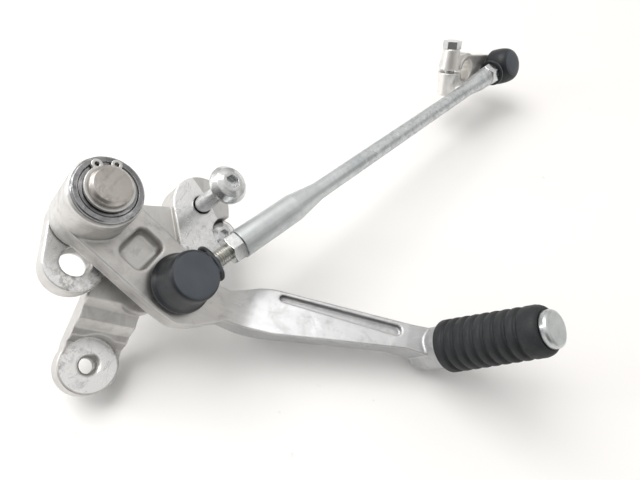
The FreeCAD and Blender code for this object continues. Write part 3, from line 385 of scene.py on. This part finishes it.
BOOT = rubber("boot_rubber", (0.012, 0.015, 0.018), (0.03, 0.036, 0.044), (0.34, 0.48),
              top_sheen=(0.086, 0.099, 0.117))
SEAL = rubber("seal_rubber", (0.012, 0.012, 0.012), (0.03, 0.03, 0.03))
LINER = plastic("liner_plastic", (0.8, 0.79, 0.75))

LOOKS = {
    "bracket_casting": CAST, "pivot_shaft": SHAFT, "lower_thrust_washer": WASHER,
    "thrust_washer": WASHER, "circlip": CLIP, "side_bolt": ZINC, "bracket_bolt": ZINC,
    "gear_lever": LEVER, "lower_bush": BRONZE, "upper_bush": BRONZE, "lower_dust_seal": SEAL,
    "upper_dust_seal": SEAL, "toe_peg": PEG, "near_ball_stud": ZINC, "near_stud_nut": ZINC,
    "near_ball_seat": LINER, "far_ball_seat": LINER, "tie_rod": ROD, "near_socket": THREAD,
    "far_socket": THREAD, "near_socket_plug": ZINC, "far_socket_plug": ZINC,
    "near_lock_nut": ZINC, "far_lock_nut": ZINC, "near_boot": BOOT, "far_boot": BOOT,
    "shift_arm": CAST_ARM_LIT, "far_ball_stud": ZINC, "far_stud_nut": ZINC, "pinch_bolt": ZINC,
    "toe_rubber": GRIP,
}
for name, node in NODES.items():
    node.data.materials.clear()
    node.data.materials.append(LOOKS[name])


# ---------------------------------------------------------------- rubber pieces
def mesh_object(name, material, body):
    """An empty mesh piece with its material, riding on a body."""
    mesh = bpy.data.meshes.new(name)
    obj = bpy.data.objects.new(name, mesh)
    bpy.context.scene.collection.objects.link(obj)
    mesh.materials.append(material)
    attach(obj, body)
    return obj


def fill_turned(obj, profile, frame_matrix, steps=96, closed=True):
    """Turn a list of (radius, height) in mm about local z and put it in place."""
    mesh = bmesh.new()
    rings = []
    for step in range(steps):
        angle = 2 * math.pi * step / steps
        rings.append([mesh.verts.new(frame_matrix @ Vector((
            radius * math.cos(angle) * MM, radius * math.sin(angle) * MM, height * MM)))
            for radius, height in profile])
    count = len(profile)
    last = count if closed else count - 1
    for step in range(steps):
        a, b = rings[step], rings[(step + 1) % steps]
        for index in range(last):
            following = (index + 1) % count
            mesh.faces.new((a[index], b[index], b[following], a[following]))
    bmesh.ops.recalc_face_normals(mesh, faces=mesh.faces)
    for face in mesh.faces:
        face.smooth = True
    mesh.to_mesh(obj.data)
    mesh.free()


def place(origin, x_way, z_way):
    """The matrix of a frame at origin, z along z_way and x as near x_way as it can be."""
    z = Vector(z_way).normalized()
    x = Vector(x_way)
    x = (x - z * x.dot(z)).normalized()
    y = z.cross(x)
    matrix = Matrix((x, y, z)).transposed().to_4x4()
    matrix.translation = Vector(origin)
    return matrix


def make_grip():
    """The toe rubber: a tapering sleeve with eight round-edged grooves."""
    low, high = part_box("toe_rubber")
    axis_x = (low[0] + high[0]) / 2 / MM
    bottom, top = low[2] / MM, high[2] / MM
    grooves, pitch, first, depth = 8, 4.2, bottom + 4.6, 1.0
    wide, narrow, taper_end, crown = 10.1, 8.85, top - 4, 0.08
    groove = ((-1.35, 0.0), (-0.95, 0.12), (-0.65, 0.45), (-0.4, 0.88), (0.0, 1.0),
              (0.4, 0.88), (0.65, 0.45), (0.95, 0.12), (1.35, 0.0))

    def radius(z):
        return wide - (wide - narrow) * (z - bottom) / (taper_end - bottom)

    outer = [(9.2, bottom), (9.75, bottom + 0.25), (10.05, bottom + 0.8)]
    for index in range(grooves):
        middle = first + pitch * index
        for offset, sink in groove:
            outer.append((radius(middle + offset) - depth * sink, middle + offset))
        if index < grooves - 1:
            outer.append((radius(middle + pitch / 2) + crown, middle + pitch / 2))
    outer += [(radius(taper_end), taper_end), (8.8, top - 2.6), (8.55, top - 1.6),
              (8.15, top - 0.7), (7.7, top - 0.2), (7.2, top)]
    inner = [(5.25, top), (5.2, top - 0.4), (5.2, bottom + 0.4), (5.25, bottom)]
    obj = mesh_object("toe_rubber_ribbed", GRIP, "lever")
    fill_turned(obj, outer + inner, Matrix.Translation((axis_x * MM, 0, 0)), 128)
    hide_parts("toe_rubber")


make_grip()


# ---------------------------------------------------------------- ball joint boots
def loose_solid(profile, matrix, steps=72):
    """A turned closed solid, from (radius, height) in mm, as an object used only for cutting."""
    obj = bpy.data.objects.new("shape", bpy.data.meshes.new("shape"))
    bpy.context.scene.collection.objects.link(obj)
    closed = [(max(radius, 0.0005), height) for radius, height in profile]
    fill_turned(obj, closed, matrix, steps)
    return obj


def worked(obj, changes):
    """The mesh an object has once a list of (modifier kind, settings) is applied."""
    for kind, settings in changes:
        modifier = obj.modifiers.new(kind, kind)
        for key, value in settings.items():
            setattr(modifier, key, value)
    graph = bpy.context.evaluated_depsgraph_get()
    return bpy.data.meshes.new_from_object(obj.evaluated_get(graph))


def make_boot(name, centre, x_way, z_way, outside, inside, neck_way, flare):
    """A moulded rubber cap over a ball joint, its neck ending in a flare round the rod's stem.

    outside and inside are (radius, height) profiles in mm about the cap's axis, z_way.
    """
    base = place(centre, x_way, z_way)
    along = place(centre, z_way, neck_way)
    body = loose_solid([(0, outside[0][1])] + outside + [(0, outside[-1][1])], base)
    neck = loose_solid([(0, 4.5), (5.4, 4.5), (5.1, 7.5), (5.0, 8.9), (5.5, 9.5),
                        (flare - 0.5, 9.75), (flare, 10.1), (flare, 11.0), (flare - 0.35, 11.4),
                        (0, 11.4)], along)
    hollow = loose_solid([(0, inside[0][1])] + inside + [(0, inside[-1][1])], base)
    stem = loose_solid([(0, 0), (3.12, 0), (3.12, 14), (0, 14)], along)
    blended = worked(body, [
        ("BOOLEAN", {"operation": "UNION", "object": neck, "solver": "EXACT"}),
        ("REMESH", {"mode": "VOXEL", "voxel_size": 0.00026}),
        ("SMOOTH", {"factor": 0.5, "iterations": 5})])
    whole = bpy.data.objects.new("shape", blended)
    bpy.context.scene.collection.objects.link(whole)
    mesh = worked(whole, [
        ("BOOLEAN", {"operation": "DIFFERENCE", "object": hollow, "solver": "EXACT"}),
        ("BOOLEAN", {"operation": "DIFFERENCE", "object": stem, "solver": "EXACT"})])
    for used in (body, neck, hollow, stem, whole):
        bpy.data.objects.remove(used, do_unlink=True)
    obj = bpy.data.objects.new(name + "_moulded", mesh)
    bpy.context.scene.collection.objects.link(obj)
    mesh.materials.clear()
    mesh.materials.append(BOOT)
    for polygon in mesh.polygons:
        polygon.use_smooth = True
        polygon.material_index = 0
    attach(obj, "tie_rod")
    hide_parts(name)


make_boot("near_boot", NEAR_BALL, ROD_WAY, UPWARD, [
    (7.6, -6.4), (9.2, -6.1), (10.6, -5.6), (11.15, -5.1), (11.3, -4.5), (11.15, -3.9),
    (10.7, -3.2), (10.25, -2.4), (9.95, -1.0), (9.7, 1.5), (9.5, 4.0), (9.4, 6.2), (9.25, 7.3),
    (8.85, 8.1), (8.2, 8.55), (6.5, 8.6)], [
    (6.5, -8.0), (6.5, -5.6), (9.7, -5.2), (10.1, -4.4), (9.2, -2.6), (8.7, 1.5), (8.3, 6.4),
    (7.6, 7.4)], ROD_WAY, 7.35)
make_boot("far_boot", FAR_BALL, -ROD_WAY, FAR_UP, [
    (6.6, -4.9), (7.8, -4.65), (8.8, -4.1), (9.3, -3.3), (9.35, -2.2), (9.3, 0.0), (9.15, 1.8),
    (8.85, 3.6), (8.35, 5.0), (7.55, 6.2), (6.3, 7.1), (4.6, 7.55), (2.4, 7.7)], [
    (5.5, -7.0), (5.5, -4.2), (8.1, -3.8), (8.3, -2.4), (8.2, 0.0), (8.05, 2.5), (7.75, 4.4),
    (7.3, 5.5), (6.2, 6.4)], -ROD_WAY, 6.8)


# ---------------------------------------------------------------- screw threads
def make_thread(name, matrix, start, end, root, crest, pitch, material, body):
    """A fine helical ridge between two heights on a cylinder, both ends run out to nothing.

    Heights, root, crest and pitch are in mm, along the matrix's z from its origin.
    """
    obj = mesh_object(name, material, body)
    mesh = bmesh.new()
    per_turn = 40
    count = int((end - start) / pitch * per_turn)
    rows = []
    for step in range(count + 1):
        angle = 2 * math.pi * step / per_turn
        height = start + pitch * step / per_turn
        fade = min(1.0, step / per_turn, (count - step) / per_turn)
        peak = root + (crest - root) * fade
        row = []
        for radius, shift in ((root, -0.42), (peak, -0.1), (peak, 0.1), (root, 0.42)):
            row.append(mesh.verts.new(matrix @ Vector((radius * math.cos(angle) * MM,
                                                       radius * math.sin(angle) * MM,
                                                       (height + shift * pitch) * MM))))
        rows.append(row)
    for a, b in zip(rows, rows[1:]):
        for index in range(3):
            mesh.faces.new((a[index], b[index], b[index + 1], a[index + 1]))
    bmesh.ops.recalc_face_normals(mesh, faces=mesh.faces)
    for face in mesh.faces:
        face.smooth = True
    mesh.to_mesh(obj.data)
    mesh.free()


make_thread("near_stem_thread", place(NEAR_BALL, UPWARD, ROD_WAY), 12.0, 18.2, 2.97, 3.3, 1.0,
            THREAD, "tie_rod")
for name, axis_foot, start, end, root, crest, pitch, material, body, slot in (
        ("pad_bore_thread", PAD_BORE, 0.9, 9.2, 5.42, 5.0, 1.5, CAST, "bracket", "cast_aluminium"),
        ("lug_bore_thread", LUG_BORE, -22.8, -15.7, 3.47, 3.15, 1.0, CAST, "bracket",
         "cast_aluminium"),
        ("bracket_bolt_thread", LOOSE_BOLT, -15.6, -6.2, 3.92, 4.25, 1.25, ZINC, "mount_bolt",
         "zinc_steel")):
    make_thread(name, place(axis_foot, (1, 0, 0), UPWARD), start, end, root, crest, pitch,
                material, body)


# ---------------------------------------------------------------- floor, light, camera
def sink_with_poses(table, normal, lowest):
    """Drivers that lower the table when a posed body would reach through it.

    Feet are empties at the lowest points of the far end; lowest is the table's height at rest.
    """
    aside = normal.cross(Vector((0, 1, 0))).normalized()
    ahead = normal.cross(aside)
    heights = []
    drivers = [table.driver_add("location", index) for index in range(3)]
    for body, node, ways in (
            ("tie_rod", "far_boot", (normal, normal * 0.8 + aside, normal * 0.8 - aside)),
            ("shift_arm", "shift_arm", (normal, normal + ahead, normal - ahead))):
        for way in ways:
            foot = bpy.data.objects.new("foot", None)
            bpy.context.scene.collection.objects.link(foot)
            foot.parent = frame["bodies"][body]
            foot.location = min((vertex.co for vertex in NODES[node].data.vertices),
                                key=lambda point: point @ way)
            count = len(heights)
            heights.append("+".join(f"{part:.3f}*{letter}{count}"
                                    for part, letter in zip(normal, "xyz")))
            for curve in drivers:
                for letter in "xyz":
                    variable = curve.driver.variables.new()
                    variable.name = f"{letter}{count}"
                    variable.type = "TRANSFORMS"
                    variable.targets[0].id = foot
                    variable.targets[0].transform_type = "LOC_" + letter.upper()
                    variable.targets[0].transform_space = "WORLD_SPACE"
    drop = f"min(0,min({','.join(heights)})-{lowest:.4f})".replace("--", "+")
    for index, curve in enumerate(drivers):
        curve.driver.expression = f"{table.location[index]:.4f}+{normal[index]:.3f}*{drop}"


def make_floor():
    """A plain pale table, tilted as the set lies on it."""
    normal = TABLE_NORMAL
    height = min((vertex.co @ normal) for node in NODES.values() for vertex in node.data.vertices)
    height -= TABLE_GAP
    mesh = bmesh.new()
    bmesh.ops.create_grid(mesh, x_segments=2, y_segments=2, size=1.4)
    obj = bpy.data.objects.new("table_top", bpy.data.meshes.new("table_top"))
    mesh.to_mesh(obj.data)
    mesh.free()
    bpy.context.scene.collection.objects.link(obj)
    obj.rotation_mode = "QUATERNION"
    obj.rotation_quaternion = normal.to_track_quat("Z", "Y")
    middle = Vector((0.06, 0.05, 0.03))
    obj.location = middle + normal * (height - middle @ normal)
    m = Maker("table_paint")
    color = m.mix(m.ramp(m.noise(5, 3), 0.3, 0.7), (0.93, 0.925, 0.915), (0.90, 0.89, 0.88))
    specks = m.ramp(m.noise(170, 2, 0.4), 0.76, 0.79)
    color = m.part(color, 0.3, specks, (0.62, 0.58, 0.54))
    paint = m.shader(color, 0.55, 0.0, m.bump(m.noise(600, 3), 0.04, 0.0002))
    surface = paint.node_tree.nodes["Material Output"].inputs["Surface"]
    painted = surface.links[0].from_socket
    # From under the table the paint is clear, so a view from that side still shows the set.
    one_sided = m.add("ShaderNodeMixShader")
    m.join(m.add("ShaderNodeNewGeometry").outputs["Backfacing"], one_sided.inputs[0])
    m.join(painted, one_sided.inputs[1])
    m.join(m.add("ShaderNodeBsdfTransparent").outputs[0], one_sided.inputs[2])
    m.join(one_sided.outputs[0], surface)
    obj.data.materials.append(paint)
    sink_with_poses(obj, normal, height)


def area_light(name, location, target, size, energy, color):
    """A rectangular lamp at a place, turned to face a target."""
    data = bpy.data.lights.new(name, "AREA")
    data.shape = "RECTANGLE"
    data.size, data.size_y = size
    data.energy = energy
    data.color = color
    obj = bpy.data.objects.new(name, data)
    bpy.context.scene.collection.objects.link(obj)
    obj.location = location
    obj.rotation_mode = "QUATERNION"
    obj.rotation_quaternion = (location - target).to_track_quat("Z", "Y")


make_floor()
area_light("window", MIDDLE + RISE * 0.50 - RIGHT * 0.52 + TABLE_NORMAL * 1.15, MIDDLE,
           (1.15, 1.15), 14.0, WARM_WHITE)
area_light("side_strip", MIDDLE - RIGHT * 0.60 + TABLE_NORMAL * 0.22, MIDDLE, (0.10, 0.5), 0.9,
           (0.95, 0.97, 1.0))


def make_room():
    """A pale room: bright overhead, darker at the walls and behind the camera, pale below."""
    room = bpy.data.worlds.new("room")
    room.use_nodes = True
    tree = room.node_tree
    sky = tree.nodes["Background"]
    where = tree.nodes.new("ShaderNodeTexCoord").outputs["Generated"]

    def lean(way):
        node = tree.nodes.new("ShaderNodeVectorMath")
        node.operation = "DOT_PRODUCT"
        tree.links.new(where, node.inputs[0])
        node.inputs[1].default_value = way.normalized()
        return node.outputs["Value"]

    def ranged(value, low, high, a, b):
        node = tree.nodes.new("ShaderNodeMapRange")
        node.interpolation_type = "SMOOTHSTEP"
        tree.links.new(value, node.inputs["Value"])
        for key, number in (("From Min", low), ("From Max", high), ("To Min", a), ("To Max", b)):
            node.inputs[key].default_value = number
        return node.outputs["Result"]

    def product(a, b):
        node = tree.nodes.new("ShaderNodeMath")
        node.operation = "MULTIPLY"
        tree.links.new(a, node.inputs[0])
        tree.links.new(b, node.inputs[1])
        return node.outputs[0]

    overhead = ranged(lean(TABLE_NORMAL + RISE * 0.35), -0.1, 0.95, 0.36, 0.92)
    under = ranged(lean(TABLE_NORMAL), -0.05, -0.25, 1.0, 2.3)
    shade = ranged(lean(BACK - TABLE_NORMAL * 0.25 - RISE * 0.3), 0.70, 0.97, 1.0, 0.35)
    tree.links.new(product(product(overhead, shade), under), sky.inputs[1])
    sky.inputs[0].default_value = (*WARM_WHITE, 1.0)
    bpy.context.scene.world = room


make_room()

camera = bpy.data.objects.new("camera", bpy.data.cameras.new("camera"))
bpy.context.scene.collection.objects.link(camera)
camera.matrix_world = Matrix.Translation(CAMERA_PLACE) @ Matrix(
    (RIGHT, RISE, BACK)).transposed().to_4x4()
camera.data.sensor_width = 36.0
camera.data.lens = 29.04
camera.data.clip_start = 0.005
bpy.context.scene.camera = camera

bpy.context.scene.view_settings.view_transform = "Standard"
